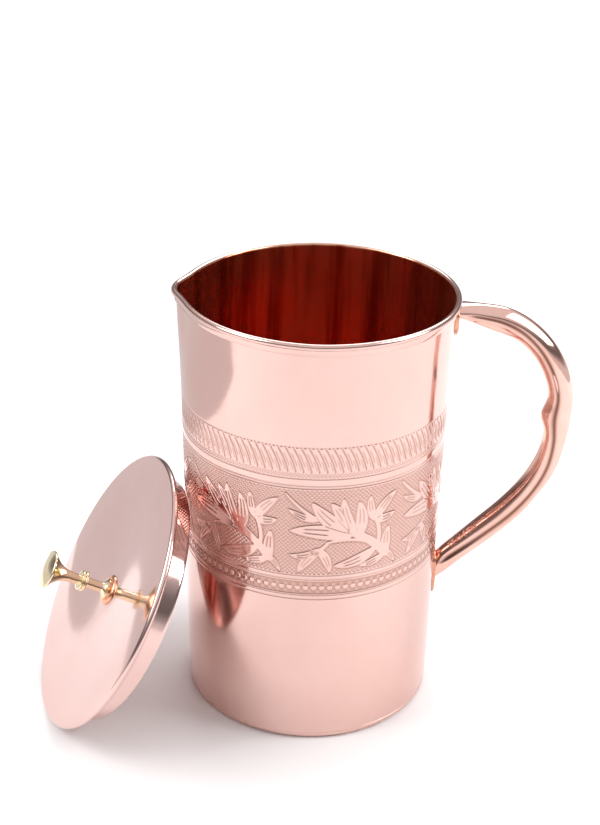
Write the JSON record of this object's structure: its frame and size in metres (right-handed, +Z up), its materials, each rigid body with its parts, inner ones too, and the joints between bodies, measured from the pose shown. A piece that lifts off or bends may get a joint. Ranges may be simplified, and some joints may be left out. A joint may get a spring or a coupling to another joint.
{
  "type": "water jug",
  "caption": "Tall copper water jug with a pinched pouring lip, hollow brazed handle, rolled rim and a loose sleeved lid with a brass knob.",
  "frame": {"origin": "centre of the jug's resting ring, on the surface it stands on", "axes": "+Z up along the jug's axis, +X towards the handle, -X towards the pouring lip"},
  "size_m": [0.2336, 0.145, 0.189],
  "materials": {
    "polished_copper": "mirror-polished copper",
    "handle_copper": "polished copper",
    "lid_copper": "polished copper",
    "brazed_copper": "satin copper with braze",
    "knob_brass": "polished brass",
    "wire": "drawn wire"
  },
  "bodies": {
    "jug": {"body_shell": "polished_copper", "rim_wire": "wire", "base_plate": "polished_copper", "handle": "handle_copper", "handle_upper_pad": "brazed_copper", "handle_lower_pad": "brazed_copper"},
    "lid": {"lid_pan": "lid_copper", "lid_sleeve": "lid_copper", "knob": "knob_brass", "knob_washer": "brazed_copper", "inner_washer": "knob_brass", "knob_screw": "knob_brass"}
  },
  "joints": [
    {"name": "lid_lift", "type": "slide", "parent": "jug", "child": "lid", "axis": [-0.8469, -0.2317, 0.4787], "range_m": [0, 0.12]}
  ]
}
